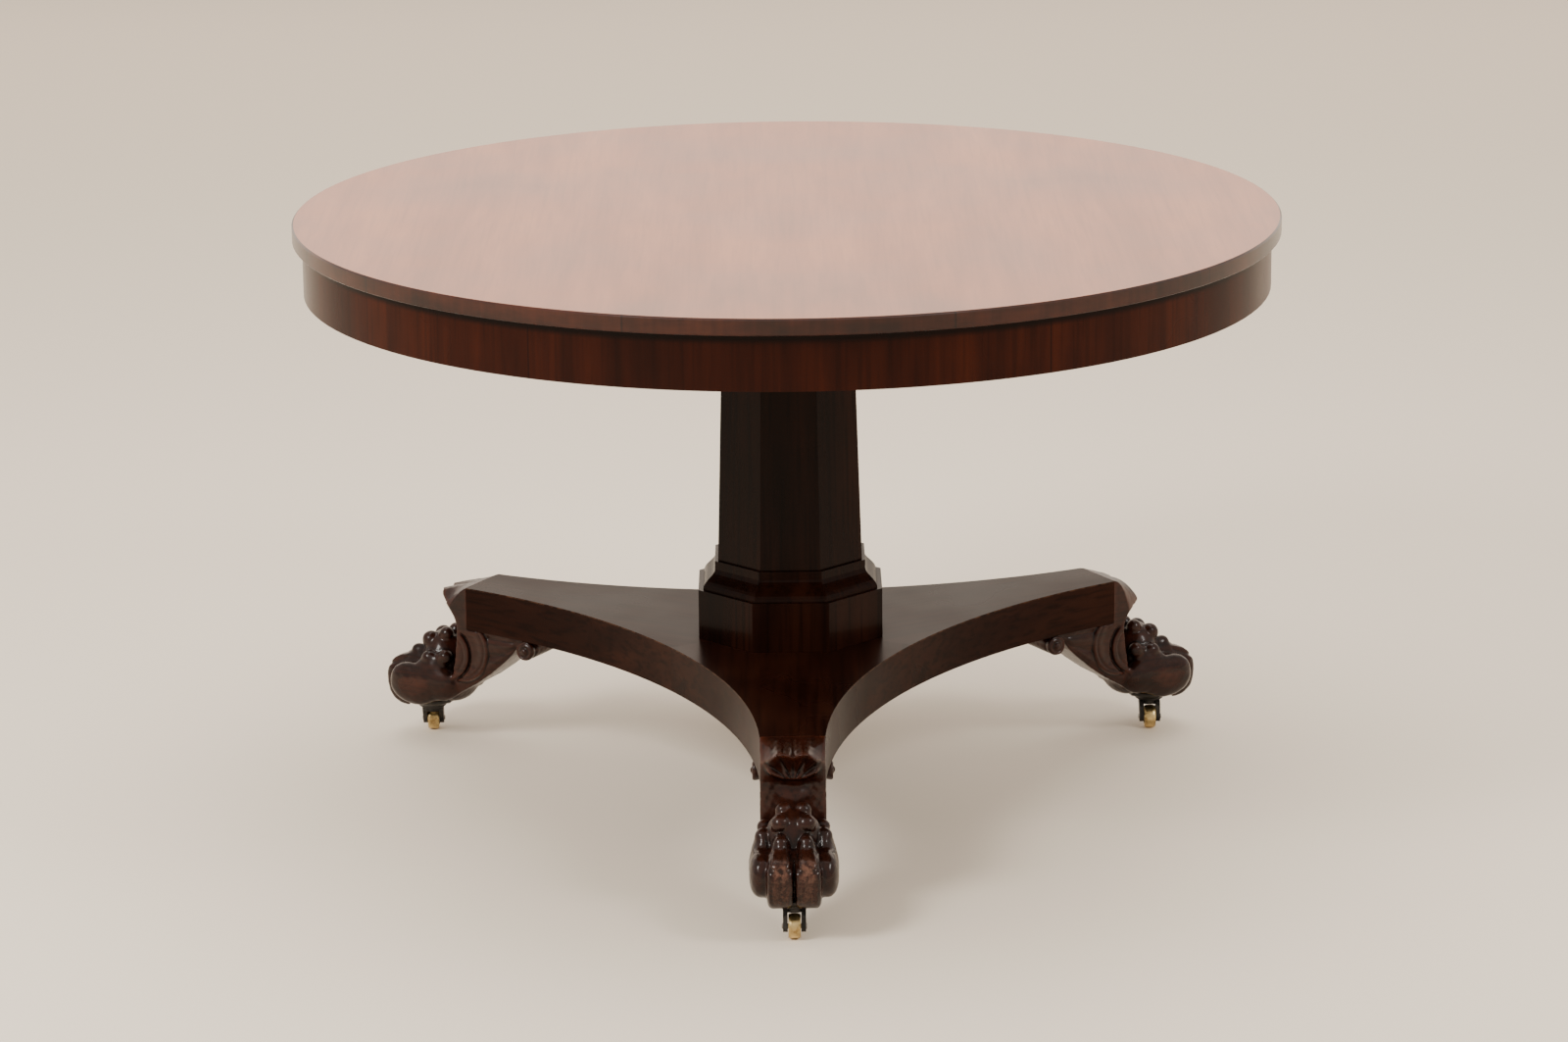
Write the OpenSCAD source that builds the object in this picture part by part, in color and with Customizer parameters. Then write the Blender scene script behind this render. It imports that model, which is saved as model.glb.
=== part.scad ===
// Round tilt-top pedestal table: a disc top with a deep frieze, an eight-sided
// tapered column on a moulded collar and plinth, a three-armed platform, three
// carved paw feet and three swivel casters.
// Frame: origin on the floor under the column axis, +Z up, the front arm along -Y.

/* [Table] */
// height from the floor to the top surface
table_h = 752; // [640:1:900]
// diameter of the round top
top_d = 1220; // [1000:5:1460]

/* [Top] */
// thickness of the top board
top_t = 20; // [16:1:28]
// depth of the frieze below the top board
frieze_h = 67; // [50:1:85]
// thickness of the frieze wall
frieze_t = 20; // [12:1:30]
// how far the top board stands out past the frieze
overhang = 12; // [4:1:24]
// number of glue blocks inside the frieze
glue_n = 24; // [12:1:36]

/* [Tilt action] */
// width of the pivot block between the bearers
block_w = 350; // [280:1:420]
// reach of the pivot block in front of the column axis
block_front = 175; // [140:1:210]
// distance of the hinge pins behind the column axis
hinge_y = 165; // [150:1:190]
// diameter of a hinge pin
pin_d = 18; // [12:1:24]
// width of one bearer
bearer_w = 45; // [34:1:60]
// length of one bearer
bearer_len = 860; // [700:5:900]
// travel of the catch bolt
catch_stroke = 15; // [8:1:18]

/* [Column] */
// width of the shaft across its flats at the foot
shaft_foot_w = 180; // [150:1:200]
// width of the shaft across its flats at the head
shaft_head_w = 160; // [130:1:180]
// width of the plinth across its flats
plinth_w = 230; // [200:1:250]
// height of the plinth
plinth_h = 63; // [45:1:80]
// height of the moulded collar
collar_h = 35; // [24:1:50]
// diameter of the iron tie rod
rod_d = 12; // [8:1:16]

/* [Platform] */
// height of the underside of the platform
platform_z = 160; // [135:1:190]
// thickness of the platform
platform_t = 57; // [44:1:68]
// distance of an arm end from the column axis
arm_reach = 464; // [400:1:520]
// width of an arm at its end
arm_end_w = 78; // [66:1:92]
// distance of a hollow side from the column axis
waist_r = 173; // [150:1:200]

/* [Foot] */
// distance of the caster post beyond the arm end
caster_out = 83; // [70:1:96]
// width across the four toes
paw_w = 106; // [90:1:120]
// radius of a scroll under the platform
scroll_r = 12.5; // [9:0.5:16]

/* [Caster] */
// diameter of the brass wheel
wheel_d = 30; // [24:1:40]
// width of the brass wheel
wheel_w = 14.4; // [10:0.2:20]
// thickness of a fork cheek
cheek_t = 5.5; // [3:0.5:8]
// distance of the axle behind the swivel post
trail = 14; // [10:1:18]
// diameter of the swivel post in the wood
post_d = 10; // [8:1:13]
// diameter of the wheel axle
axle_d = 6; // [4:0.5:8]

/* [Hidden] */
fit = 0.05;
top_r = top_d / 2;
top_z = table_h - top_t;
frieze_r = top_r - overhang;
frieze_in = frieze_r - frieze_t;
frieze_z = top_z - frieze_h;
block_t = 59;
block_top = top_z - 1;
block_z = block_top - block_t;
hinge_z = block_z + block_t / 2;
bearer_x = block_w / 2 + 1;
bearer_z = top_z - 60;
bearer_mid = bearer_x + bearer_w / 2;
platform_top = platform_z + platform_t;
plinth_top = platform_top + plinth_h;
shaft_z = plinth_top + collar_h;
shaft_h = block_z - shaft_z;
// centre distance and radius of the hollow sides, through the arm end corners
hollow_d = (pow(arm_reach, 2) + pow(arm_end_w / 2, 2) - pow(waist_r, 2))
    / (arm_reach + sqrt(3) * arm_end_w / 2 - 2 * waist_r);
hollow_r = hollow_d - waist_r;
crown_z = wheel_d + 1;
crown_t = 5;
pad_z = crown_z + crown_t + 0.4;
pad_t = 13.6;
sole_z = pad_z + pad_t;
pad_r = 33;
caster_r = arm_reach + caster_out;
fork_half = wheel_w / 2 + 0.8 + cheek_t;
rise = (platform_z - sole_z) / 110;
catch_y = -block_front - 9;
catch_z = top_z - 20.2;
bolt_w = 14;
bolt_t = 10;
bolt_z = top_z - 16;
foot_screw_z = platform_z - 26;
// bearers stop short of the glue blocks on a small top
bearer_half = min(bearer_len / 2,
    sqrt(pow(frieze_in - 40, 2) - pow(bearer_x + bearer_w, 2)));
bearer_screw_y = [-bearer_half + 60, -190, -10, 90, 240, bearer_half - 60];
arm_front = -90;
arm_right = 30;
arm_left = 150;
wood = [0.36, 0.17, 0.10];
wood_dark = [0.24, 0.12, 0.08];
wood_plain = [0.50, 0.36, 0.24];
iron = [0.20, 0.19, 0.18];
steel = [0.45, 0.44, 0.42];
brass = [0.78, 0.60, 0.28];

// height inside a foot, stretched with the height of the platform
function fz(h) = sole_z + (h - 50) * rise;

// places children on one arm, x outward from the column axis
module on_arm(a) {
    rotate([0, 0, a]) children();
}

// places children at a caster, in world directions
module at_caster(a) {
    translate([caster_r * cos(a), caster_r * sin(a), 0]) children();
}

// eight-sided body: the same outline worked on all eight sides
module eight_sided(w) {
    intersection_for (a = [0, 45, 90, 135]) {
        rotate([90, 0, a]) linear_extrude(height = w * 1.2, center = true) children();
    }
}

// vertical round bore
module bore(r, z0, z1, n = 36) {
    translate([0, 0, z0]) cylinder(r = r, h = z1 - z0, $fn = n);
}

module top_board() {
    color(wood) difference() {
        rotate_extrude($fn = 240) polygon([
            [0, top_z], [top_r - 1.2, top_z], [top_r, top_z + 1.2],
            [top_r, table_h - 2], [top_r - 2, table_h], [0, table_h]]);
        for (s = [-1, 1], y = bearer_screw_y) {
            translate([s * bearer_mid, y, 0]) bore(2.5, top_z - 1, top_z + 12.5, 20);
        }
        for (s = [-1, 1], y = [catch_y - 7, catch_y - 55]) {
            translate([s * 19, y, 0]) bore(1.75, top_z - 1, top_z + 10, 16);
        }
    }
}

module frieze_ring() {
    color(wood) difference() {
        translate([0, 0, frieze_z]) cylinder(r = frieze_r, h = frieze_h, $fn = 240);
        translate([0, 0, frieze_z - 1]) cylinder(r = frieze_in, h = frieze_h + 2, $fn = 240);
    }
}

// short rubbed blocks in the corner between the frieze and the top board
module frieze_glue_blocks() {
    color(wood_plain) for (i = [0 : glue_n - 1]) {
        rotate([0, 0, (i + 0.5) * 360 / glue_n]) intersection() {
            translate([frieze_in - 26, -30, top_z - 48]) cube([40, 60, 48]);
            translate([0, 0, top_z - 60]) cylinder(r = frieze_in, h = 60, $fn = 240);
            rotate([90, 0, 0]) linear_extrude(height = 80, center = true) polygon([
                [frieze_in - 26, top_z], [frieze_in - 26, top_z - 14],
                [frieze_in - 10, top_z - 48], [frieze_in + 14, top_z - 48],
                [frieze_in + 14, top_z]]);
        }
    }
}

// one bearer, on the right hand side; coved at both lower ends, bored for the pin
module bearer() {
    difference() {
        translate([bearer_x, 0, 0]) rotate([90, 0, 90]) linear_extrude(height = bearer_w) {
            difference() {
                translate([-bearer_half, bearer_z]) square([2 * bearer_half, top_z - bearer_z]);
                for (s = [-1, 1]) {
                    translate([s * bearer_half, bearer_z]) circle(r = 42, $fn = 60);
                }
            }
        }
        translate([bearer_x - 1, hinge_y, hinge_z]) rotate([0, 90, 0])
            cylinder(r = pin_d / 2 + fit, h = bearer_w + 2, $fn = 48);
        for (y = bearer_screw_y) {
            translate([bearer_mid, y, 0]) bore(2.6, bearer_z - 1, top_z + 1, 20);
            translate([bearer_mid, y, 0]) bore(5.2, bearer_z - 1, bearer_z + 24, 24);
        }
    }
}

module bearer_right() {
    color(wood_plain) bearer();
}

module bearer_left() {
    color(wood_plain) mirror([1, 0, 0]) bearer();
}

module bearer_screws() {
    color(steel) for (s = [-1, 1], y = bearer_screw_y) {
        translate([s * bearer_mid, y, 0]) {
            bore(5, bearer_z + 20, bearer_z + 24, 24);
            bore(2.5, bearer_z + 23, top_z + 12, 20);
        }
    }
}

module catch_housing() {
    color(brass) difference() {
        translate([-26, catch_y - 62, catch_z]) cube([52, 62, top_z - catch_z]);
        translate([-bolt_w / 2 - 0.3, catch_y - 46, bolt_z - 0.3])
            cube([bolt_w + 0.6, 60, bolt_t + 0.6]);
        translate([-3.4, catch_y - 33.4, catch_z - 1])
            cube([6.8, 6.8 + catch_stroke, 10]);
        for (s = [-1, 1], y = [catch_y - 7, catch_y - 55]) {
            translate([s * 19, y, 0]) bore(1.8, catch_z - 1, top_z + 1, 16);
        }
    }
}

module catch_screws() {
    color(brass) for (s = [-1, 1], y = [catch_y - 7, catch_y - 55]) {
        translate([s * 19, y, 0]) {
            bore(4, catch_z - 2.5, catch_z, 24);
            bore(1.75, catch_z - 1, top_z + 10, 16);
        }
    }
}

// sliding bolt with a turned knob below
module catch_bolt() {
    color(brass) {
        translate([-bolt_w / 2, catch_y - 44, bolt_z]) cube([bolt_w, 43.5, bolt_t]);
        translate([0, catch_y - 30, 0]) {
            bore(3, bolt_z - 17, bolt_z + 1, 24);
            translate([0, 0, bolt_z - 29]) rotate_extrude($fn = 36) polygon([
                [0, 0], [4.5, 0.4], [7.6, 3], [8.6, 6.5], [7.6, 10], [4.2, 12.6], [0, 13]]);
        }
    }
}

module pivot_block() {
    color(wood_dark) difference() {
        translate([-block_w / 2, 0, 0]) rotate([90, 0, 90]) linear_extrude(height = block_w) {
            translate([-block_front, block_z]) square([block_front + hinge_y, block_t]);
            translate([hinge_y, hinge_z]) circle(r = block_t / 2, $fn = 90);
        }
        for (s = [-1, 1]) {
            translate([s * (block_w / 2 - 29.5), hinge_y, hinge_z]) rotate([0, 90, 0])
                cylinder(r = pin_d / 2, h = 61, center = true, $fn = 48);
        }
        translate([-bolt_w / 2 - 0.6, -block_front - 1, bolt_z - 0.6])
            cube([bolt_w + 1.2, 18, bolt_t + 1.2]);
        for (s = [-1, 1]) {
            translate([s * 16, -block_front - 1, bolt_z + 5]) rotate([-90, 0, 0])
                cylinder(r = 1.5, h = 16, $fn = 16);
        }
        bore(rod_d / 2 + 0.5, block_z - 1, block_top + 1);
        bore(rod_d / 2 + 16, block_top - 18, block_top + 1, 60);
    }
}

// one hinge pin with a domed head outside the bearer
module pin() {
    translate([block_w / 2 - 60, hinge_y, hinge_z]) rotate([0, 90, 0]) rotate_extrude($fn = 48)
        polygon([[0, 0], [pin_d / 2 - 1, 0], [pin_d / 2, 1], [pin_d / 2, 61.4 + bearer_w],
            [pin_d / 2 + 5, 61.4 + bearer_w], [pin_d / 2 + 4, 65 + bearer_w],
            [pin_d / 2, 67 + bearer_w], [0, 68 + bearer_w]]);
}

module pivot_pin_right() {
    color(steel) pin();
}

module pivot_pin_left() {
    color(steel) mirror([1, 0, 0]) pin();
}

module keeper_plate() {
    color(brass) difference() {
        translate([-22, -block_front - 3, block_top - 25]) cube([44, 3, 25]);
        translate([-bolt_w / 2 - 0.6, -block_front - 4, bolt_z - 0.6])
            cube([bolt_w + 1.2, 5, bolt_t + 1.2]);
        for (s = [-1, 1]) {
            translate([s * 16, -block_front - 4, bolt_z + 5]) rotate([-90, 0, 0])
                cylinder(r = 1.5, h = 5, $fn = 16);
            translate([s * 16, -block_front - 4, bolt_z + 5]) rotate([-90, 0, 0])
                cylinder(r = 3, h = 3, $fn = 24);
        }
    }
}

module keeper_screws() {
    color(brass) for (s = [-1, 1]) {
        translate([s * 16, -block_front - 3, bolt_z + 5]) rotate([-90, 0, 0]) {
            cylinder(r = 3, h = 2, $fn = 24);
            cylinder(r = 1.5, h = 17, $fn = 16);
        }
    }
}

module column_shaft() {
    color(wood_dark) difference() {
        eight_sided(shaft_foot_w) polygon([
            [-shaft_foot_w / 2, shaft_z], [shaft_foot_w / 2, shaft_z],
            [shaft_head_w / 2, block_z], [-shaft_head_w / 2, block_z]]);
        bore(rod_d / 2 + 2, shaft_z - 1, block_z + 1);
    }
}

// outline of the collar: a flat fillet over a swelling ogee
module collar_outline() {
    w1 = shaft_foot_w / 2 + 4;
    w2 = plinth_w / 2 - 6;
    h1 = collar_h * 0.3;
    h2 = collar_h - h1;
    right = [for (i = [0 : 8]) [
        w1 + (w2 - w1) * (0.5 - 0.5 * cos(i * 22.5)),
        shaft_z - h1 - h2 * (i * 0.125 * 0.9 + 0.1 * pow(i * 0.125, 3))]];
    left = [for (i = [0 : 8]) [-right[8 - i][0], right[8 - i][1]]];
    polygon(concat([[-w1, shaft_z], [w1, shaft_z]], right, left));
}

module column_collar() {
    color(wood_dark) difference() {
        eight_sided(plinth_w) collar_outline();
        bore(rod_d / 2 + 2, plinth_top - 1, shaft_z + 1);
    }
}

module column_plinth() {
    color(wood_dark) difference() {
        eight_sided(plinth_w) translate([-plinth_w / 2, platform_top])
            square([plinth_w, plinth_h]);
        bore(rod_d / 2 + 2, platform_top - 1, plinth_top + 1);
    }
}

module tie_rod() {
    color(iron) bore(rod_d / 2, platform_z + 3.5, block_top - 3);
}

module tie_rod_nuts() {
    color(iron) for (z = [platform_z + 5, block_top - 15]) {
        difference() {
            translate([0, 0, z]) cylinder(r = rod_d / 2 + 6, h = 8, $fn = 6);
            bore(rod_d / 2, z - 1, z + 9);
        }
    }
}

module tie_rod_washers() {
    color(iron) for (z = [platform_z + 13, block_top - 18]) {
        difference() {
            bore(rod_d / 2 + 13, z, z + 3, 60);
            bore(rod_d / 2, z - 1, z + 4);
        }
    }
}

// three arms with hollow sides
module platform() {
    color(wood_dark) difference() {
        translate([0, 0, platform_z]) linear_extrude(height = platform_t) difference() {
            polygon([for (a = [30, 150, 270])
                [2 * arm_reach * cos(a + 180), 2 * arm_reach * sin(a + 180)]]);
            for (a = [30, 150, 270]) {
                translate([hollow_d * cos(a + 180), hollow_d * sin(a + 180)])
                    circle(r = hollow_r, $fn = 360);
            }
        }
        bore(rod_d / 2 + 0.5, platform_z - 1, platform_top + 1);
        bore(rod_d / 2 + 16, platform_z - 1, platform_z + 16, 60);
        for (a = [arm_front, arm_right, arm_left], s = [-1, 1]) {
            on_arm(a) translate([arm_reach - 44, s * 20, 0])
                bore(3, platform_z - 1, platform_z + 40, 20);
        }
    }
}

// side outline of a foot, x outward, y up
module foot_outline() {
    r0 = arm_reach;
    intersection() {
        polygon([
                [r0 - 92, platform_z], [r0, platform_z], [r0, fz(170)], [r0 + 18, fz(170)],
                [r0 + 17, fz(150)], [r0 + 40, fz(148)], [r0 + 58, fz(145)], [r0 + 82, fz(132)],
                [r0 + 100, fz(112)], [r0 + 112, fz(76)], [r0 + 104, sole_z],
                [r0 + 30, sole_z], [r0 - 40, sole_z], [r0 - 92, fz(120)]]);
        translate([r0 + 175, fz(353)]) circle(r = 324, $fn = 240);
    }
}

// one toe: a knuckle, a bent middle and a blunt tip
module toe(x, y, back, top, tip) {
    hull() {
        translate([back, y * 0.8, fz(top)]) sphere(r = 12, $fn = 24);
        translate([x - 34, y, fz(top - 36)]) sphere(r = 14, $fn = 24);
        translate([x - 14.5, y, fz(top * 0.3 + 42)]) sphere(r = 14.3, $fn = 24);
        translate([x - 17, y, tip + 12]) sphere(r = 12, $fn = 24);
    }
}

module paw_foot() {
    r0 = arm_reach;
    difference() {
        union() {
            rotate([90, 0, 0]) linear_extrude(height = arm_end_w - 4, center = true)
                foot_outline();
            // root of the scroll, up to the underside of the platform
            rotate([90, 0, 0]) linear_extrude(height = arm_end_w - 4, center = true)
                polygon([[r0 - 104, platform_z], [r0 - 104, fz(151)], [r0 - 94, fz(146)],
                    [r0 - 74, fz(145)], [r0 - 60, fz(150)], [r0 - 60, platform_z]]);
            translate([r0 - 93, 0, fz(146)]) rotate([90, 0, 0])
                cylinder(r = scroll_r, h = paw_w - 8, center = true, $fn = 48);
            for (s = [-1, 1]) {
                toe(r0 + 134, s * 14.5, r0 + 51, 141, sole_z - 9);
                toe(r0 + 119, s * (paw_w / 2 - 14.5), r0 + 46, 119, sole_z - 4);
            }
        }
        translate([0, 0, platform_z]) linear_extrude(height = platform_t)
            translate([r0 - 200, -100]) square([200, 200]);
        translate([caster_r, 0, 0]) {
            bore(pad_r, sole_z - 30, sole_z, 60);
            bore(post_d / 2, sole_z - 1, sole_z + 46);
            for (b = [60, 180, 300]) {
                rotate([0, 0, b]) translate([24, 0, 0]) bore(2, sole_z - 1, sole_z + 22, 16);
            }
        }
        for (s = [-1, 1]) {
            translate([r0 - 44, s * 20, 0]) {
                bore(3.1, foot_screw_z, platform_z + 1, 20);
                bore(6.2, sole_z - 20, foot_screw_z + 6, 24);
            }
        }
    }
}

module paw_foot_front() {
    color(wood_dark) on_arm(arm_front) paw_foot();
}

module paw_foot_right() {
    color(wood_dark) on_arm(arm_right) paw_foot();
}

module paw_foot_left() {
    color(wood_dark) on_arm(arm_left) paw_foot();
}

// two-lobed leaf curling out over the end of an arm
module end_leaf() {
    r0 = arm_reach;
    lip = [for (i = [0 : 8]) [
        r0 + 46 + 6 * sin(i * 20), platform_top - 12 + 6 * cos(i * 20)]];
    lobes = [for (i = [-12 : 12]) [
        r0 + 22 + 26 * cos(i * 7.2) + 4.4 * abs(sin(i * 15)), i * arm_end_w / 24.3]];
    intersection() {
        rotate([90, 0, 0]) linear_extrude(height = arm_end_w, center = true)
            polygon(concat([[r0, fz(170)], [r0, platform_top], [r0 + 22, platform_top - 3]],
                lip, [[r0 + 26, fz(182)], [r0 + 18, fz(170)]]));
        translate([0, 0, platform_z]) linear_extrude(height = platform_t + 5)
            polygon(concat([[r0 - 5, arm_end_w], [r0 - 5, -arm_end_w]],
                [[r0 + 20, -arm_end_w]], lobes, [[r0 + 20, arm_end_w]]));
    }
}

module end_leaf_front() {
    color(wood_dark) on_arm(arm_front) end_leaf();
}

module end_leaf_right() {
    color(wood_dark) on_arm(arm_right) end_leaf();
}

module end_leaf_left() {
    color(wood_dark) on_arm(arm_left) end_leaf();
}

// two screws up through each foot into the platform
module foot_screws() {
    color(steel) for (a = [arm_front, arm_right, arm_left], s = [-1, 1]) {
        on_arm(a) translate([arm_reach - 44, s * 20, 0]) {
            bore(6, foot_screw_z, foot_screw_z + 6, 24);
            bore(3, foot_screw_z + 5, platform_z + 40, 20);
        }
    }
}

// turned pad let into the sole of a paw
module caster_pad() {
    difference() {
        translate([0, 0, pad_z]) rotate_extrude($fn = 60) polygon([
            [0, 0], [16.5, 0], [18, 1], [18.5, 3], [22, 4.5], [29, 8], [pad_r - 1, 10],
            [pad_r, 11.5], [pad_r, pad_t], [0, pad_t]]);
        bore(post_d / 2, pad_z - 1, sole_z + 1);
        for (b = [60, 180, 300]) {
            rotate([0, 0, b]) translate([24, 0, 0]) {
                bore(2, pad_z - 1, sole_z + 1, 16);
                bore(4.1, pad_z - 1, pad_z + 9, 24);
            }
        }
    }
}

module caster_pad_front() {
    color(iron) on_arm(arm_front) translate([caster_r, 0, 0]) caster_pad();
}

module caster_pad_right() {
    color(iron) on_arm(arm_right) translate([caster_r, 0, 0]) caster_pad();
}

module caster_pad_left() {
    color(iron) on_arm(arm_left) translate([caster_r, 0, 0]) caster_pad();
}

// three screws up through each pad
module caster_screws() {
    color(steel) for (a = [arm_front, arm_right, arm_left], b = [60, 180, 300]) {
        on_arm(a) translate([caster_r, 0, 0]) rotate([0, 0, b]) translate([24, 0, 0]) {
            bore(4, pad_z + 6.5, pad_z + 9, 24);
            bore(2, pad_z + 8, sole_z + 22, 16);
        }
    }
}

// swivel post, riveted over below the fork crown
module caster_post() {
    color(steel) rotate_extrude($fn = 48) polygon([
        [0, crown_z - 2.6], [3.6, crown_z - 2.6], [4.8, crown_z - 1.6], [4.8, crown_z - 0.3],
        [post_d / 2 - 1, crown_z - 0.3], [post_d / 2 - 1, pad_z], [post_d / 2, pad_z],
        [post_d / 2, sole_z + 44], [post_d / 2 - 2, sole_z + 46], [0, sole_z + 46]]);
}

module caster_post_front() {
    at_caster(arm_front) caster_post();
}

module caster_post_right() {
    at_caster(arm_right) caster_post();
}

module caster_post_left() {
    at_caster(arm_left) caster_post();
}

// side outline of one fork cheek, x along the trail, y up
module cheek_outline() {
    axle_z = wheel_d / 2;
    translate([-trail, axle_z]) circle(r = axle_d / 2 + 4, $fn = 36);
    polygon([
        [-trail - axle_d / 2 - 3.6, axle_z + 2], [-trail - 2, axle_z - 6.2],
        [-trail + 4, axle_z - 6], [-trail + axle_d / 2 + 4, axle_z],
        [4, crown_z - 4], [9, crown_z + crown_t], [-14.5, crown_z + crown_t],
        [-trail - axle_d / 2 - 2, crown_z - 2]]);
}

// fork: round crown over two cheeks that lean back to the axle
module caster_fork() {
    difference() {
        union() {
            translate([0, 0, crown_z]) cylinder(r = fork_half + 0.6, h = crown_t, $fn = 60);
            for (s = [-1, 1]) {
                translate([s * (fork_half - cheek_t / 2), 0, 0]) rotate([90, 0, 90])
                    linear_extrude(height = cheek_t, center = true) cheek_outline();
            }
        }
        bore(post_d / 2 - 1 + fit, crown_z - 1, crown_z + crown_t + 1);
        translate([0, -trail, wheel_d / 2]) rotate([0, 90, 0])
            cylinder(r = axle_d / 2, h = 60, center = true, $fn = 36);
    }
}

module caster_fork_front() {
    color(iron) at_caster(arm_front) caster_fork();
}

module caster_fork_right() {
    color(iron) at_caster(arm_right) caster_fork();
}

module caster_fork_left() {
    color(iron) at_caster(arm_left) rotate([0, 0, 180]) caster_fork();
}

// axle riveted over outside both cheeks
module wheel_axle() {
    w = fork_half;
    translate([0, -trail, wheel_d / 2]) rotate([0, 90, 0]) rotate_extrude($fn = 36) polygon([
        [0, -w - 1.6], [2.4, -w - 1.5], [axle_d / 2 + 1.2, -w], [axle_d / 2, -w],
        [axle_d / 2, w], [axle_d / 2 + 1.2, w], [2.4, w + 1.5], [0, w + 1.6]]);
}

module wheel_axle_front() {
    color(steel) at_caster(arm_front) wheel_axle();
}

module wheel_axle_right() {
    color(steel) at_caster(arm_right) wheel_axle();
}

module wheel_axle_left() {
    color(steel) at_caster(arm_left) rotate([0, 0, 180]) wheel_axle();
}

// dished brass wheel with a rounded tread
module caster_wheel() {
    r = wheel_d / 2;
    w = wheel_w / 2;
    translate([0, -trail, r]) rotate([0, 90, 0]) rotate_extrude($fn = 72) polygon([
        [axle_d / 2 + fit, -w], [axle_d / 2 + 3, -w], [axle_d / 2 + 3.4, -w + 1.8],
        [r - 3.6, -w + 1.8], [r - 3, -w], [r - 1.6, -w], [r - 0.5, -w + 1.4], [r, -w + 3.4],
        [r, w - 3.4], [r - 0.5, w - 1.4], [r - 1.6, w], [r - 3, w], [r - 3.6, w - 1.8],
        [axle_d / 2 + 3.4, w - 1.8], [axle_d / 2 + 3, w], [axle_d / 2 + fit, w]]);
}

module caster_wheel_front() {
    color(brass) at_caster(arm_front) caster_wheel();
}

module caster_wheel_right() {
    color(brass) at_caster(arm_right) caster_wheel();
}

module caster_wheel_left() {
    color(brass) at_caster(arm_left) rotate([0, 0, 180]) caster_wheel();
}

top_board();
frieze_ring();
frieze_glue_blocks();
bearer_left();
bearer_right();
bearer_screws();
catch_housing();
catch_screws();
catch_bolt();
pivot_block();
pivot_pin_left();
pivot_pin_right();
keeper_plate();
keeper_screws();
column_shaft();
column_collar();
column_plinth();
tie_rod();
tie_rod_nuts();
tie_rod_washers();
platform();
paw_foot_front();
paw_foot_right();
paw_foot_left();
end_leaf_front();
end_leaf_right();
end_leaf_left();
foot_screws();
caster_pad_front();
caster_pad_right();
caster_pad_left();
caster_screws();
caster_post_front();
caster_post_right();
caster_post_left();
caster_fork_front();
caster_fork_right();
caster_fork_left();
wheel_axle_front();
wheel_axle_right();
wheel_axle_left();
caster_wheel_front();
caster_wheel_right();
caster_wheel_left();
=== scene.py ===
import math
import bpy
import numpy as np
from mathutils import Matrix, Vector


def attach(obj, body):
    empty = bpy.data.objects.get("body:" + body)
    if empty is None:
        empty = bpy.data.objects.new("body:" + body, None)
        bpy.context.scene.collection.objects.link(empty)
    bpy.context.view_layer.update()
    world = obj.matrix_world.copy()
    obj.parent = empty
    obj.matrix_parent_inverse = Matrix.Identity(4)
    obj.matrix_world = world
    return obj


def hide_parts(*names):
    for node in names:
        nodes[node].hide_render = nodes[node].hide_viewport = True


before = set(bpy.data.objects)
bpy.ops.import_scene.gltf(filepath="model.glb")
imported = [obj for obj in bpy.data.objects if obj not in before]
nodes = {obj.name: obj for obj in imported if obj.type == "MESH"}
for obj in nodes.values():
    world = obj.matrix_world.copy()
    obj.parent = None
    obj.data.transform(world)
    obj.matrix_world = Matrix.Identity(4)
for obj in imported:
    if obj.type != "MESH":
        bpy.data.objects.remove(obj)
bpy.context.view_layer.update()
LEGS = {"front": -90.0, "right": 30.0, "left": 150.0}

# ---------------------------------------------------------------- carved feet
# Each foot and its leaf are worked as a distance field in the foot's own frame, in
# millimetres: r outward from the column axis, w across, z up. It is then skinned.
PLATFORM_Z, PLATFORM_TOP, ARM_END = 160, 217, 464
SOLE_Z, PAD_R, CASTER_R = 50.0, 33.2, 547
STEP = 1.3
LO = np.array([354.0, -57.0, 36.0])
HI = np.array([604.0, 57.0, 222.0])


def smin(a, b, k):
    h = np.clip(0.5 + 0.5 * (b - a) / k, 0, 1)
    return b * (1 - h) + a * h - k * h * (1 - h)


def smax(a, b, k):
    return -smin(-a, -b, k)


def ell(p, c, rad, tilt=0.0):
    """An ellipsoid, tilted nose-down by tilt degrees in the r-z plane."""
    r, w, z = p[0] - c[0], p[1] - c[1], p[2] - c[2]
    if tilt:
        ca, sa = math.cos(math.radians(tilt)), math.sin(math.radians(tilt))
        r, z = r * ca - z * sa, r * sa + z * ca
    a, b, d = rad
    k0 = np.sqrt((r / a) ** 2 + (w / b) ** 2 + (z / d) ** 2)
    k1 = np.sqrt((r / a**2) ** 2 + (w / b**2) ** 2 + (z / d**2) ** 2)
    return k0 * (k0 - 1) / np.maximum(k1, 1e-6)


def ball(p, c, rad):
    return np.sqrt((p[0] - c[0]) ** 2 + (p[1] - c[1]) ** 2 + (p[2] - c[2]) ** 2) - rad


def smooth(x):
    x = np.clip(x, 0, 1)
    return x * x * (3 - 2 * x)


def sup(p, c, rad, e1, e2, tilt=0.0):
    """A squarish ellipsoid: exponent e1 in the r-z plane, e2 across it."""
    r, w, z = p[0] - c[0], np.abs(p[1] - c[1]), p[2] - c[2]
    if tilt:
        ca, sa = math.cos(math.radians(tilt)), math.sin(math.radians(tilt))
        r, z = r * ca - z * sa, r * sa + z * ca
    a, b, d = rad
    flat = (np.abs(r / a) ** e1 + np.abs(z / d) ** e1) ** (1 / e1)
    k = (flat**e2 + (w / b) ** e2) ** (1 / e2)
    grow = np.sqrt((r / a**2) ** 2 + (w / b**2) ** 2 + (z / d**2) ** 2)
    return k * (k - 1) / np.maximum(grow, 0.008)


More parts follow.
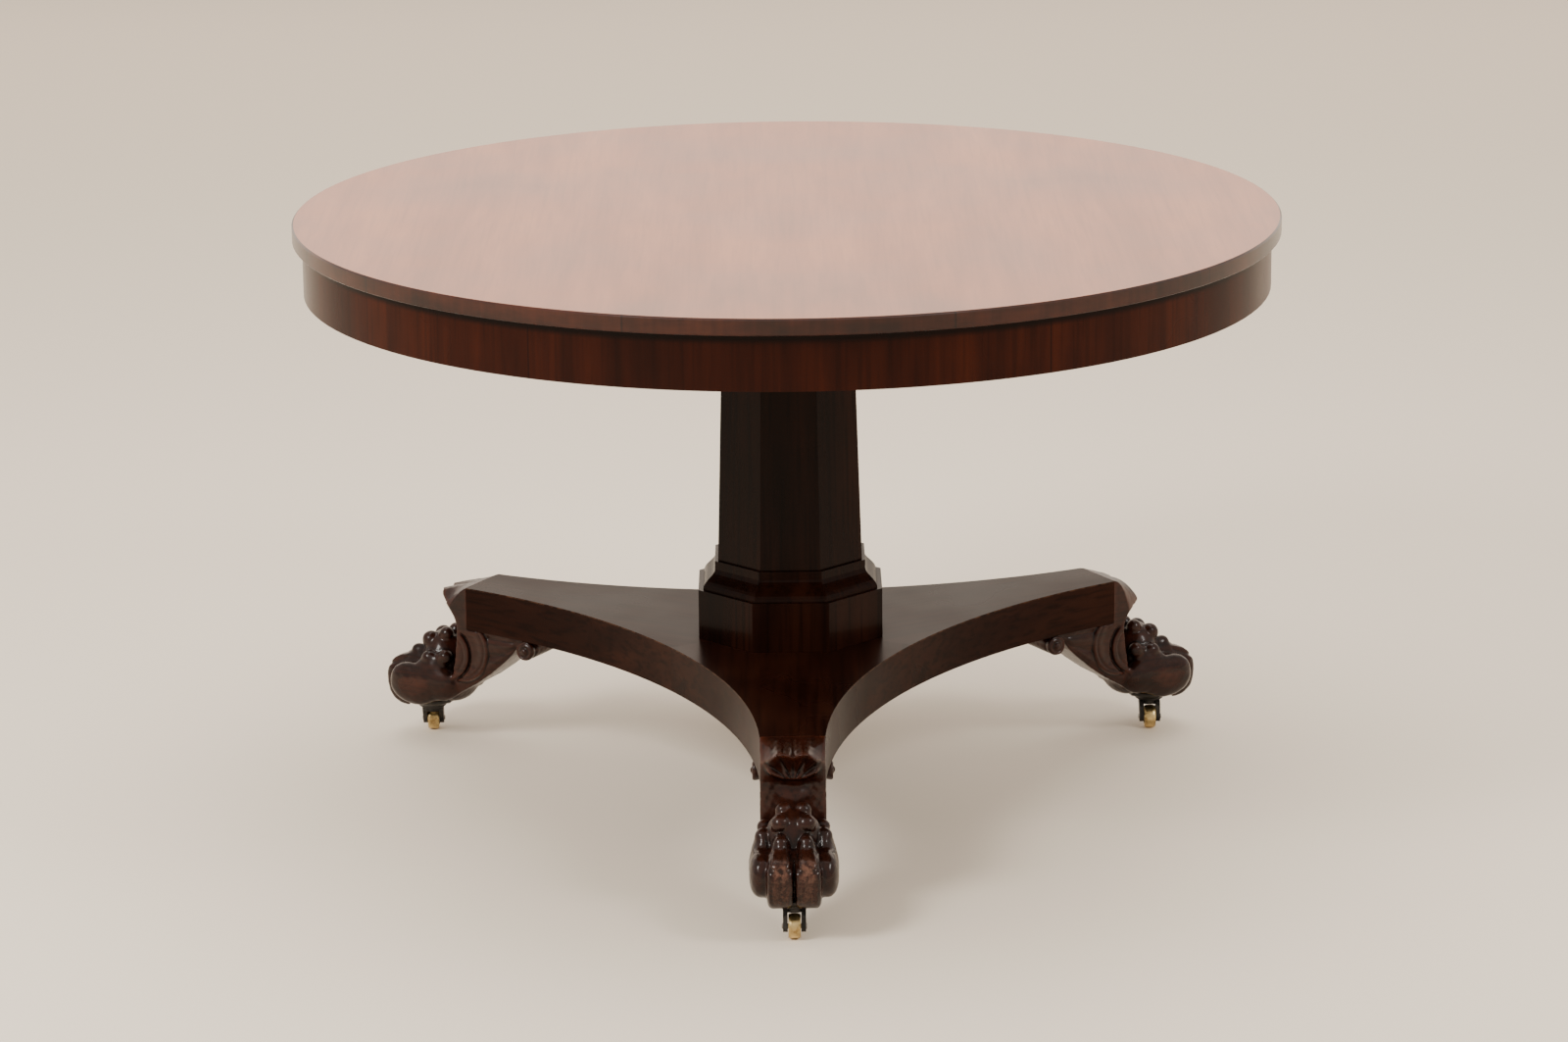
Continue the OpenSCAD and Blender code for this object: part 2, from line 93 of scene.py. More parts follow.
def foot_field(p, lobe_z, corner_z, start_z, power, lip, side_r):
    """One foot with its leaf.

    lobe_z and corner_z are the heights of the leaf's rim at its lobes and corners,
    start_z is where it leaves the neck, power bends its upper face, lip is how far its
    lower edge stands out, and side_r moves the sides of its rim outward.
    """
    r, w_signed, z = p
    w = np.abs(w_signed)
    q = (r, w, z)
    # underside of the bracket, from the scroll to the heel
    under = np.interp(r, [354, 380, 392, 401, 414, 433, 457, 480, 497, 512, 540],
                      [152, 151, 142, 131, 119, 103, 85.5, 72, 62, 55, 50])
    f_under = (under - z) * 0.78
    # rim of the end leaf: how far out and how high it stands across the arm
    rim_r = np.interp(w, [0, 5, 13, 20, 28, 34, 40],
                      [509, 513, 517, 514, 505, 492 + side_r, 483 + side_r])
    up = np.interp(w, [0, 4, 12, 18, 26, 33, 40], [0.68, 0.84, 1.0, 0.92, 0.58, 0.25, 0.0])
    rim_z = corner_z + (lobe_z - corner_z) * up
    t = np.clip((r - ARM_END) / (rim_r - ARM_END), 0, 1.3)
    f_top = (z - (PLATFORM_TOP - (PLATFORM_TOP - rim_z) * t**power)) * 0.92
    f_top = np.where(r < ARM_END, z - PLATFORM_Z, f_top)
    neck = np.interp(z, [100, 120, 142, 156, 172, 182], [488, 484, 481.5, 480.5, 481, 481.5])
    s = np.clip((z - start_z) / np.maximum(rim_z - start_z, 4), 0, 1.15)
    flare = (rim_r - 481) * (0.6 * s**2.2 + 0.4 * s)
    # fan ribs on the face of the leaf, standing over a lip with a hollow below it
    edge = start_z + 3 + 0.012 * w**2
    above = z - edge
    ang = np.arctan2(w, np.maximum(z - edge + 0.012 * w**2 + 3, 0.1))
    dist = np.hypot(w, np.maximum(z - start_z, 0))
    ribs = np.abs(np.sin(ang * 7.2 + 0.2)) ** 0.7
    fade = smooth((dist - 2) / 7) * smooth((above + 1) / 3) * smooth((36 - w) / 6)
    front = neck + flare
    front = front + 3.6 * (ribs - 0.62) * fade
    roll = np.exp(-(((above - 3.0) / np.where(above < 3, 2.6, 6.5)) ** 2))
    front = front + lip * roll * smooth((33 - w) / 7)
    front = front - 6.0 * np.exp(-((w / 19) ** 4) - ((z - edge + 10) / 9) ** 2)
    f_front = (r - front) * 0.8
    # sides: plain beside the arm end, carved like overlapping leaves behind it
    d1 = np.hypot(r - 478.6, z - 133) - 46.6
    d2 = np.hypot(r - 500, z - 125) - 38
    side = np.interp(r, [354, 380, 405, 435, 470], [31, 35, 35, 33.5, 32])
    fan = np.arctan2(z - 152, r - 366)
    flutes = np.abs(np.sin(fan * 8.5)) ** 0.8
    side = side + 2.8 * flutes * smooth((r - 386) / 14) * smooth((z - under - 2) / 9)
    cuff = smooth(-d1 / 3.5)
    side = side * (1 - cuff) + (38.2 + 1.2 * np.sin(np.clip(-d1, 0, 20) * 0.22)) * cuff
    side = side - 3.4 * np.exp(-((d2 / 1.9) ** 2)) * cuff
    band = smooth(-d2 / 2.5)
    side = side * (1 - band) + 39.2 * band
    side = side - 1.1 * np.exp(-(((d2 + 9) / 1.5) ** 2)) * band * smooth((150 - z) / 8)
    side = side - 1.4 * np.exp(-(((d1 + 7) / 1.5) ** 2)) * cuff * (1 - band)
    plain = smooth((z - 150) / 7) * smooth((r - 452) / 8)
    side = side * (1 - plain) + 38.9 * plain
    f_side = w - side
    body = smax(smax(f_under, f_side, 3.0), smax(f_front, f_top, 2.0), 1.8)
    body = smax(body, 356 - r, 2)
    # keep clear of the arm: above the bracket only the part past the arm end
    body = np.maximum(body, np.minimum(ARM_END - r, z - PLATFORM_Z))
    # scroll: a drum across the bracket with a sunk spiral in each end
    rs, zs = r - 370.5, z - 146.2
    drum_r = np.hypot(rs, zs)
    turn = np.arctan2(zs, rs)
    spiral = np.cos(turn - drum_r * 1.05)
    drum = smax(drum_r - 12.6, w - (48.0 + 0.9 * spiral * smooth((13 - drum_r) / 3)), 2.0)
    drum = drum + 1.2 * np.exp(-(((w - 39) / 2.2) ** 2))
    drum = smin(drum, ball(q, (370.5, 46.6, 146.2), 4.6), 1.5)
    body = smin(body, drum, 3.0)
    # paw: palm, dome behind the knuckles and heel
    paw = ell(q, (519, 0, 98), (34, 36, 44), 12)
    paw = smin(paw, ell(q, (521, 0, 117), (25, 31, 27)), 6)
    paw = smin(paw, ell(q, (507, 0, 73), (24, 37, 23)), 8)
    paw = smin(paw, sup(q, (548, 0, 76), (43.5, 42, 31), 2.4, 3.0), 4)
    # outer toe: a long swelling from the heel with a double knuckle above
    outer = sup(q, (550, 37.0, 76.0), (35, 15.6, 27.5), 2.3, 2.5, -9)
    outer = smin(outer, ell(q, (524, 37.0, 83), (31, 14.6, 27), -4), 7)
    outer = smin(outer, ell(q, (505, 33.5, 80), (20, 13.5, 22)), 7)
    outer = smin(outer, ell(q, (523, 35.5, 103), (20, 10.5, 18), 20), 6)
    outer = smin(outer, ball(q, (526.5, 36.0, 114.5), 9.0), 4.5)
    outer = smin(outer, ball(q, (502.5, 33.6, 117.5), 9.4), 6.0)
    # inner toe: a broad blunt tip that narrows upwards, with two knuckles up its back
    pinch = 15.9 + (w - 15.9) * (1 + 0.42 * smooth((z - 88) / 20))
    inner = sup((r, pinch, z), (563.5, 15.9, 75.5), (35.8, 16.5, 34.5), 2.45, 6.0, 3)
    inner = smin(inner, ell(q, (554, 15.0, 103), (27, 10.4, 17), 42), 5)
    inner = smin(inner, ball(q, (536.5, 15.0, 132.0), 11.6), 2.4)
    inner = smin(inner, ball(q, (557.0, 15.0, 115.5), 8.2), 4.0)
    inner = smin(inner, ball(q, (514.0, 11.4, 141.5), 9.8), 2.6)
    paw = smin(paw, smin(outer, inner, 2.0), 3.0)
    # a thin cut between the two middle toes
    paw = paw + 2.2 * np.exp(-((w / 1.2) ** 2)) * smooth((r - 566) / 8) * smooth((118 - z) / 12)
    # the flat sole takes the caster pad
    paw = smax(paw, -np.maximum(z - SOLE_Z, np.hypot(r - CASTER_R, w) - PAD_R), 0.6)
    body = smin(body, paw, 6.0)
    # chipped, scuffed toe tips with a nail line, and light tool marks everywhere
    tip = smooth((r - 572) / 10) * smooth((106 - z) / 10)
    tip = tip * smooth((31 - w) / 4) * smooth((z - 48) / 10)
    rough = np.sin(r * 1.9 + z * 0.7) * np.sin(w_signed * 2.3 + z * 1.1)
    rough = rough * np.sin(z * 1.7 - w_signed * 0.6)
    grooves = np.sin(w_signed * 1.15 + np.sin(z * 0.3) * 0.8) * smooth((86 - z) / 12)
    body = body + (0.45 * rough + 0.35 * grooves) * tip
    nail = np.exp(-(((z - 104 + 0.45 * (r - 572)) / 1.8) ** 2))
    body = body + 1.1 * nail * smooth((31 - w) / 3) * smooth((r - 562) / 6)
    marks = np.sin(r * 0.33 + w_signed * 0.21) * np.sin(z * 0.37 - r * 0.11)
    marks = marks * np.sin(w_signed * 0.41 + z * 0.13)
    return body + 0.22 * marks


def nets(field, lo, h):
    """Naive surface nets: one vertex per cell the surface crosses."""
    ins = field < 0
    c = np.zeros(tuple(n - 1 for n in field.shape), np.int8)
    corners = [(i, j, k) for i in (0, 1) for j in (0, 1) for k in (0, 1)]
    for i, j, k in corners:
        c += ins[i:field.shape[0] - 1 + i, j:field.shape[1] - 1 + j, k:field.shape[2] - 1 + k]
    active = (c > 0) & (c < 8)
    cells = np.argwhere(active)
    index = np.full(active.shape, -1, np.int64)
    index[active] = np.arange(len(cells))
    total = np.zeros((len(cells), 3))
    count = np.zeros(len(cells))
    for a in corners:
        for axis in range(3):
            if a[axis]:
                continue
            b = tuple(1 if n == axis else a[n] for n in range(3))
            fa = field[cells[:, 0] + a[0], cells[:, 1] + a[1], cells[:, 2] + a[2]]
            fb = field[cells[:, 0] + b[0], cells[:, 1] + b[1], cells[:, 2] + b[2]]
            cross = (fa < 0) != (fb < 0)
            t = fa[cross] / (fa[cross] - fb[cross])
            at = np.array(a, float)[None, :] + t[:, None] * np.eye(3)[axis][None, :]
            total[cross] += at
            count[cross] += 1
    verts = (cells + total / count[:, None]) * h + lo
    faces = []
    for axis in range(3):
        u, v = [n for n in range(3) if n != axis]
        lo_s = [slice(None)] * 3
        hi_s = [slice(None)] * 3
        lo_s[axis] = slice(0, -1)
        hi_s[axis] = slice(1, None)
        one, two = ins[tuple(lo_s)], ins[tuple(hi_s)]
        at = np.argwhere(one != two)
        ok = (at[:, u] > 0) & (at[:, v] > 0)
        ok &= (at[:, u] < field.shape[u] - 1) & (at[:, v] < field.shape[v] - 1)
        at = at[ok]
        du, dv = np.zeros(3, int), np.zeros(3, int)
        du[u], dv[v] = 1, 1
        quad = np.stack([index[tuple((at + d).T)] for d in (-du - dv, -dv, 0 * du, -du)], 1)
        flip = one[tuple(at.T)]
        if axis == 1:
            flip = ~flip
        quad[~flip] = quad[~flip][:, ::-1]
        faces.append(quad)
    return verts, np.concatenate(faces)


def sample(field, pts, lo, h):
    """The field's value at any point, by linear interpolation."""
    g = (pts - lo) / h
    i = np.clip(np.floor(g).astype(int), 0, np.array(field.shape) - 2)
    f = g - i
    out = np.zeros(len(pts))
    for a in (0, 1):
        for b in (0, 1):
            for c in (0, 1):
                wgt = np.abs(1 - a - f[:, 0]) * np.abs(1 - b - f[:, 1]) * np.abs(1 - c - f[:, 2])
                out += wgt * field[i[:, 0] + a, i[:, 1] + b, i[:, 2] + c]
    return out


def skin(name, maker):
    """A mesh on the zero of a field, with its relief and its scuffs as attributes."""
    n = np.ceil((HI - LO) / STEP).astype(int) + 1
    ax = [(LO[i] + STEP * np.arange(n[i])).astype(np.float32) for i in range(3)]
    p = np.meshgrid(*ax, indexing="ij")
    field = maker(p).astype(np.float64)
    field[0], field[-1] = 5, 5
    field[:, 0], field[:, -1] = 5, 5
    field[:, :, 0], field[:, :, -1] = 5, 5
    verts, faces = nets(field, LO, STEP)
    for _ in range(2):
        f0 = sample(field, verts, LO, STEP)
        grad = np.stack([sample(field, verts + e, LO, STEP) - sample(field, verts - e, LO, STEP)
                         for e in np.eye(3) * STEP * 0.7], 1) / (1.4 * STEP)
        step = np.clip(f0 / np.maximum((grad**2).sum(1), 0.2), -0.4 * STEP, 0.4 * STEP)
        verts = verts - grad * step[:, None]
    mesh = bpy.data.meshes.new(name)
    mesh.vertices.add(len(verts))
    mesh.vertices.foreach_set("co", (verts * 0.001).astype(np.float32).ravel())
    mesh.loops.add(faces.size)
    mesh.loops.foreach_set("vertex_index", faces.astype(np.int32).ravel())
    mesh.polygons.add(len(faces))
    mesh.polygons.foreach_set("loop_start", np.arange(0, faces.size, 4, dtype=np.int32))
    mesh.polygons.foreach_set("loop_total", np.full(len(faces), 4, np.int32))
    mesh.polygons.foreach_set("use_smooth", np.ones(len(faces), bool))
    mesh.update(calc_edges=True)
    mesh.validate()
    grad /= np.maximum(np.linalg.norm(grad, axis=1, keepdims=True), 1e-6)
    out = sum(sample(field, verts + grad * d, LO, STEP) / d for d in (3.0, 6.0)) / 2
    deep = sum(-sample(field, verts - grad * d, LO, STEP) / d for d in (3.0, 6.0)) / 2
    relief = np.clip(0.5 + 0.5 * (out - deep), 0, 1) * np.clip(out + 0.3, 0, 1)
    r, w, z = verts.T
    top = np.exp(-(((np.abs(w) - 16) / 9.5) ** 4) - ((z - 92) / 12) ** 4)
    low = 0.45 * np.exp(-(((np.abs(w) - 15) / 12) ** 4) - ((z - 66) / 14) ** 4)
    scuff = smooth((r - 566) / 12) * np.maximum(top, low)
    for title, values in (("relief", relief), ("scuff", scuff)):
        layer = mesh.attributes.new(title, "FLOAT", "POINT")
        layer.data.foreach_set("value", values.astype(np.float32))
    return mesh


SHAPES = {
    "front": dict(lobe_z=211.0, corner_z=190.0, start_z=166.0, power=1.4, lip=7.0, side_r=2.0),
    "left": dict(lobe_z=205.0, corner_z=187.0, start_z=163.0, power=1.4, lip=3.2, side_r=7.0),
    "right": dict(lobe_z=184.0, corner_z=174.0, start_z=150.0, power=2.2, lip=3.2, side_r=5.0),
}
feet = {}
for key, angle in LEGS.items():
    mesh = skin("carved_foot_" + key, lambda p: foot_field(p, **SHAPES[key]))
    obj = bpy.data.objects.new("carved_foot_" + key, mesh)
    bpy.context.scene.collection.objects.link(obj)
    obj.matrix_world = Matrix.Rotation(math.radians(angle), 4, "Z")
    bpy.context.view_layer.update()
    feet[key] = obj


# ---------------------------------------------------------------- materials
class Tree:
    """A short way to write a material's nodes."""

    def __init__(self, name):
        self.mat = bpy.data.materials.new(name)
        self.mat.use_nodes = True
        self.t = self.mat.node_tree
        self.t.nodes.clear()
        self.out = self.t.nodes.new("ShaderNodeOutputMaterial")
        self.bsdf = self.t.nodes.new("ShaderNodeBsdfPrincipled")
        self.t.links.new(self.bsdf.outputs[0], self.out.inputs["Surface"])
        self.obj = self.t.nodes.new("ShaderNodeTexCoord").outputs["Object"]

    def link(self, a, b):
        self.t.links.new(a, b)

    def put(self, socket, value):
        if hasattr(value, "links"):
            self.t.links.new(value, socket)
        else:
            socket.default_value = value

    def mapping(self, scale, rot=(0, 0, 0), loc=(0, 0, 0), src=None):
        n = self.t.nodes.new("ShaderNodeMapping")
        self.link(src or self.obj, n.inputs["Vector"])
        n.inputs["Scale"].default_value = scale
        n.inputs["Rotation"].default_value = [math.radians(a) for a in rot]
        n.inputs["Location"].default_value = loc
        return n.outputs[0]

    def noise(self, vec, scale, detail=3, rough=0.55, dist=0.0):
        n = self.t.nodes.new("ShaderNodeTexNoise")
        self.link(vec, n.inputs["Vector"])
        n.inputs["Scale"].default_value = scale
        n.inputs["Detail"].default_value = detail
        n.inputs["Roughness"].default_value = rough
        n.inputs["Distortion"].default_value = dist
        return n.outputs["Fac"]

    def ramp(self, fac, stops):
        n = self.t.nodes.new("ShaderNodeValToRGB")
        self.link(fac, n.inputs["Fac"])
        e = n.color_ramp.elements
        while len(e) < len(stops):
            e.new(0.5)
        for i, (pos, col) in enumerate(stops):
            e[i].position = pos
            e[i].color = (*col, 1) if len(col) == 3 else col
        return n.outputs["Color"]

    def grey(self, fac, lo, hi, a=0.0, b=1.0):
        n = self.t.nodes.new("ShaderNodeMapRange")
        self.link(fac, n.inputs["Value"])
        n.inputs["From Min"].default_value = lo
        n.inputs["From Max"].default_value = hi
        n.inputs["To Min"].default_value = a
        n.inputs["To Max"].default_value = b
        return n.outputs["Result"]

    def math(self, op, a, b=0.0):
        n = self.t.nodes.new("ShaderNodeMath")
        n.operation = op
        self.put(n.inputs[0], a)
        self.put(n.inputs[1], b)
        return n.outputs[0]

    def mix(self, fac, a, b, mode="MIX"):
        n = self.t.nodes.new("ShaderNodeMix")
        n.data_type = "RGBA"
        n.blend_type = mode
        self.put(n.inputs[0], fac)
        self.put(n.inputs[6], (*a, 1) if isinstance(a, tuple) else a)
        self.put(n.inputs[7], (*b, 1) if isinstance(b, tuple) else b)
        return n.outputs[2]

    def attribute(self, name):
        n = self.t.nodes.new("ShaderNodeAttribute")
        n.attribute_name = name
        return n.outputs["Fac"]

    def bump(self, height, strength, distance):
        n = self.t.nodes.new("ShaderNodeBump")
        n.inputs["Strength"].default_value = strength
        n.inputs["Distance"].default_value = distance
        self.link(height, n.inputs["Height"])
        self.link(n.outputs[0], self.bsdf.inputs["Normal"])

    def split(self, vec):
        n = self.t.nodes.new("ShaderNodeSeparateXYZ")
        self.link(vec, n.inputs[0])
        return n.outputs[0], n.outputs[1], n.outputs[2]

    def join(self, x, y, z):
        n = self.t.nodes.new("ShaderNodeCombineXYZ")
        for i, v in enumerate((x, y, z)):
            self.put(n.inputs[i], v)
        return n.outputs[0]

    def set(self, **kw):
        for k, v in kw.items():
            self.put(self.bsdf.inputs[k.replace("_", " ")], v)


def mahogany(name, dark, mid, light, coords=None, axis=2, rough=(0.22, 0.34), coat=0.3,
             coat_rough=0.12, spec=0.3, broad_at=9.0, pores=0.5, wear_and_painted_light=None):
    """Polished mahogany with its grain along one axis of the coordinates."""
    m = Tree(name)
    src = coords(m) if coords else m.obj
    stretch = [broad_at] * 3
    stretch[axis] = broad_at * 0.1
    fine = [170.0, 170.0, 170.0]
    fine[axis] = 5.0
    broad = m.noise(m.mapping(stretch, src=src), 1.0, 3, 0.55, 0.6)
    narrow = [s * 4.2 for s in stretch]
    streak = m.noise(m.mapping(narrow, src=src, loc=(3, 1, 2)), 1.0, 4, 0.6, 0.3)
    pore = m.noise(m.mapping(fine, src=src), 1.0, 2, 0.5)
    cloud = m.noise(m.mapping((4.5, 4.5, 4.5), src=src, loc=(7, 3, 5)), 1.0, 3, 0.5)
    tone = m.math("ADD", m.math("MULTIPLY", broad, 0.42), m.math("MULTIPLY", streak, 0.2))
    tone = m.math("ADD", tone, m.math("MULTIPLY", cloud, 0.38))
    c = m.ramp(tone, [(0.36, dark), (0.5, mid), (0.64, light)])
    c = m.mix(m.grey(pore, 0.36, 0.5, pores, 0.0), c, tuple(x * 0.4 for x in dark))
    # extra colour from the hook: crossbanding, wear, painted shade or painted highlight
    if wear_and_painted_light is not None:
        c = wear_and_painted_light(m, c)
    m.set(Base_Color=c, Roughness=m.grey(cloud, 0.35, 0.65, *rough))
    m.set(Specular_IOR_Level=spec, Coat_Weight=coat, Coat_Roughness=coat_rough, Coat_IOR=1.5)
    m.bump(m.math("ADD", pore, m.math("MULTIPLY", streak, 0.4)), 0.06, 0.0003)
    return m.mat


def metal(name, dark, light, rough, metallic=1.0, scale=60.0, bump=0.15):
    """Dull, handled metal with a cloudy tone and a fine pitted surface."""
    m = Tree(name)
    a = m.noise(m.mapping((scale, scale, scale)), 1.0, 4, 0.6)
    b = m.noise(m.mapping((scale * 5, scale * 5, scale * 5)), 1.0, 3, 0.6)
    m.set(Base_Color=m.ramp(a, [(0.35, dark), (0.65, light)]), Metallic=metallic)
    m.set(Roughness=m.grey(a, 0.3, 0.7, *rough))
    m.bump(b, bump, 0.0003)
    return m.mat


def turn_of(m):
    """The angle round the column axis, in radians."""
    x, y, _ = m.split(m.obj)
    return m.math("ARCTAN2", y, x)


def radius(m):
    """The distance from the column axis."""
    x, y, _ = m.split(m.obj)
    return m.math("SQRT", m.math("ADD", m.math("MULTIPLY", x, x), m.math("MULTIPLY", y, y)))


def height(m):
    return m.split(m.obj)[2]


def ring_coords(m):
    """Coordinates that run round the column axis: angle, radius, height."""
    return m.join(m.math("MULTIPLY", turn_of(m), 0.6), radius(m), height(m))


def arm_coords(m):
    """Coordinates along and across the nearest arm, so the grain follows each arm."""
    n = m.t.nodes.new("ShaderNodeMath")
    n.operation = "WRAP"
    m.link(m.math("SUBTRACT", turn_of(m), math.radians(30)), n.inputs[0])
    n.inputs[1].default_value = math.radians(60)
    n.inputs[2].default_value = math.radians(-60)
    rad = radius(m)
    return m.join(m.math("MULTIPLY", rad, m.math("COSINE", n.outputs[0])),
                  m.math("MULTIPLY", rad, m.math("SINE", n.outputs[0])), height(m))


def book_coords(m):
    """The two halves of the top are mirrored about the middle, and the grain runs along Y."""
    x, y, z = m.split(m.obj)
    return m.join(m.math("ABSOLUTE", x), y, z)


def joints(m, c, every, shade):
    """Thin dark butt joints between the pieces of a band round the rim."""
    turn = m.math("FRACT", m.math("MULTIPLY", turn_of(m), every))
    line = m.math("LESS_THAN", turn, 0.0035 * every)
    return m.mix(line, c, m.mix(shade, c, (0.004, 0.001, 0.001)))


# in metres: the radius where the top's edge band starts, the height below which the top
# is bare, the heights of the painted shade on the frieze under the overhang and of the
# platform's worn upper arris
RIM_FROM, RIM_TO = 0.6074, 0.6082
BARE_BELOW = 0.7325
PAINTED_SHADE_FROM, PAINTED_SHADE_TO = 0.7195, 0.7255
ARRIS_FROM, ARRIS_TO, ARRIS_END = 0.2148, 0.2163, 0.21685
FRIEZE = ((0.012, 0.0019, 0.0007), (0.026, 0.0042, 0.0013), (0.050, 0.0088, 0.0025))


def banded(m, c):
    """The board's edge is crossbanded like the frieze, and its underside is bare wood."""
    ring = ring_coords(m)
    cross = m.noise(m.mapping((70, 1, 6), src=ring), 1.0, 3, 0.6)
    blotch = m.noise(m.mapping((9, 1, 30), src=ring, loc=(2, 0, 1)), 1.0, 3, 0.6)
    tone = m.math("ADD", m.math("MULTIPLY", cross, 0.35), m.math("MULTIPLY", blotch, 0.65))
    band = m.ramp(tone, [(0.36, FRIEZE[0]), (0.5, FRIEZE[1]), (0.66, FRIEZE[2])])
    band = joints(m, band, 1.59, 0.75)
    bare = m.noise(m.mapping((40, 4, 40), loc=(1, 5, 2)), 1.0, 4, 0.6)
    bare = m.ramp(bare, [(0.3, (0.055, 0.027, 0.014)), (0.7, (0.12, 0.060, 0.032))])
    c = m.mix(m.math("LESS_THAN", height(m), BARE_BELOW), c, bare)
    return m.mix(m.grey(radius(m), RIM_FROM, RIM_TO), c, band)


def under_rim(m, c):
    """Dark joints, and painted shade darkening the frieze close under the overhang."""
    c = joints(m, c, 0.955, 0.6)
    # painted shade: the frieze darkens towards the underside of the top
    shade = m.grey(height(m), PAINTED_SHADE_FROM, PAINTED_SHADE_TO, 0.0, 0.86)
    return m.mix(shade, c, (0.003, 0.001, 0.0007))


def rubbed(m, c):
    """Polish worn along the upper arrises of the platform."""
    z = height(m)
    scuff = m.noise(m.mapping((90, 90, 90)), 1.0, 4, 0.65)
    line = m.math("MULTIPLY", m.grey(z, ARRIS_FROM, ARRIS_TO), m.math("LESS_THAN", z, ARRIS_END))
    worn = m.math("MULTIPLY", line, m.grey(scuff, 0.42, 0.6, 0.0, 0.55))
    return m.mix(worn, c, (0.13, 0.06, 0.032))


def carved_tone(m, c):
    """Painted shade in the hollows, a painted red highlight on high places, and scuffed toe tips.
    """
    relief = m.attribute("relief")
    # painted shade: hollows darkened towards near black
    c = m.mix(m.grey(relief, 0.62, 0.30, 0.0, 0.9), c, (0.004, 0.0015, 0.001))
    # painted highlight: high places lightened redder
    c = m.mix(m.grey(relief, 0.70, 1.0, 0.0, 0.35), c, (0.075, 0.019, 0.009))
    chafe = m.noise(m.mapping((150, 150, 150)), 1.0, 4, 0.7)
    worn = m.math("MULTIPLY", m.attribute("scuff"), m.grey(chafe, 0.42, 0.60, 0.05, 0.7))
    return m.mix(worn, c, (0.15, 0.07, 0.046))


# each wood: its dark, middle and light tone, then how it is laid and polished
MAT = {}
MAT["top"] = mahogany(
    "mahogany_top", (0.205, 0.048, 0.014), (0.32, 0.088, 0.029), (0.44, 0.140, 0.052),
    coords=book_coords, axis=1, rough=(0.30, 0.36), coat=0.56, coat_rough=0.18, spec=0.15,
    broad_at=11.0, pores=0.12, wear_and_painted_light=banded)
MAT["edge"] = mahogany(
    "mahogany_frieze", *FRIEZE, coords=ring_coords, axis=2, rough=(0.2, 0.3), coat=0.1,
    coat_rough=0.08, spec=0.05, broad_at=14.0, pores=0.3, wear_and_painted_light=under_rim)
MAT["dark"] = mahogany(
    "mahogany_dark", (0.0035, 0.0010, 0.0005), (0.010, 0.0028, 0.0013), (0.026, 0.0070, 0.0030),
    axis=2, coat=0.05, coat_rough=0.1, spec=0.05)
MAT["arm"] = mahogany(
    "mahogany_arm", (0.006, 0.0016, 0.0008), (0.015, 0.0040, 0.0019), (0.033, 0.0098, 0.0045),
    coords=arm_coords, axis=0, coat=0.02, coat_rough=0.2, spec=0.04, wear_and_painted_light=rubbed)
MAT["carved"] = mahogany(
    "mahogany_carved", (0.010, 0.0026, 0.0013), (0.024, 0.0058, 0.0028), (0.048, 0.0120, 0.0055),
    axis=0, rough=(0.2, 0.32), coat=0.2, coat_rough=0.1, spec=0.15, wear_and_painted_light=carved_tone)
MAT["deal"] = mahogany(
    "softwood", (0.10, 0.052, 0.024), (0.17, 0.095, 0.046), (0.25, 0.150, 0.078),
    axis=1, rough=(0.6, 0.75), coat=0.0)
MAT["brass"] = metal("dull_brass", (0.30, 0.20, 0.08), (0.78, 0.60, 0.28), (0.22, 0.42))
MAT["iron"] = metal("black_iron", (0.012, 0.011, 0.010), (0.05, 0.046, 0.042), (0.38, 0.6), 0.7)
MAT["steel"] = metal("dull_steel", (0.16, 0.14, 0.12), (0.42, 0.39, 0.36), (0.3, 0.5))

USE = {
    "top": ["top_board"],
    "edge": ["frieze_ring"],
    "dark": ["column_shaft", "column_collar", "column_plinth", "pivot_block"],
    "arm": ["platform"],
    "deal": ["bearer_left", "bearer_right", "frieze_glue_blocks"],
    "brass": ["catch_housing", "catch_screws", "catch_bolt", "keeper_plate", "keeper_screws"],
    "iron": ["tie_rod", "tie_rod_nuts", "tie_rod_washers"],
    "steel": ["bearer_screws", "pivot_pin_left", "pivot_pin_right", "foot_screws", "caster_screws"],
}
for key in LEGS:
    USE["iron"] += ["caster_pad_" + key, "caster_fork_" + key]
    USE["steel"] += ["caster_post_" + key, "wheel_axle_" + key]
    USE["brass"] += ["caster_wheel_" + key]
for mat, names in USE.items():
    for n in names:
        nodes[n].data.materials.clear()
        nodes[n].data.materials.append(MAT[mat])

# softened arrises: node, width in millimetres, segments
BEVELS = (("column_shaft", 1.6, 2), ("column_collar", 0.8, 1), ("column_plinth", 1.6, 2),
          ("platform", 1.8, 3), ("pivot_block", 1.5, 2))
for n, width, seg in BEVELS:
    b = nodes[n].modifiers.new("bevel", "BEVEL")
    b.width, b.segments = width * 0.001, seg
    b.limit_method, b.angle_limit = "ANGLE", math.radians(22)

for key, obj in feet.items():
    obj.data.materials.append(MAT["carved"])
    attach(obj, "base")
    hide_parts("paw_foot_" + key, "end_leaf_" + key)

# ---------------------------------------------------------------- stage
floor_mat = Tree("floor_pale")
floor_mat.set(Base_Color=(0.84, 0.74, 0.61, 1), Roughness=0.7)
floor = bpy.data.meshes.new("floor")
floor.from_pydata([(-30, -30, 0), (30, -30, 0), (30, 30, 0), (-30, 30, 0)], [], [(0, 1, 2, 3)])
floor.materials.append(floor_mat.mat)
floor = bpy.data.objects.new("floor", floor)
bpy.context.scene.collection.objects.link(floor)

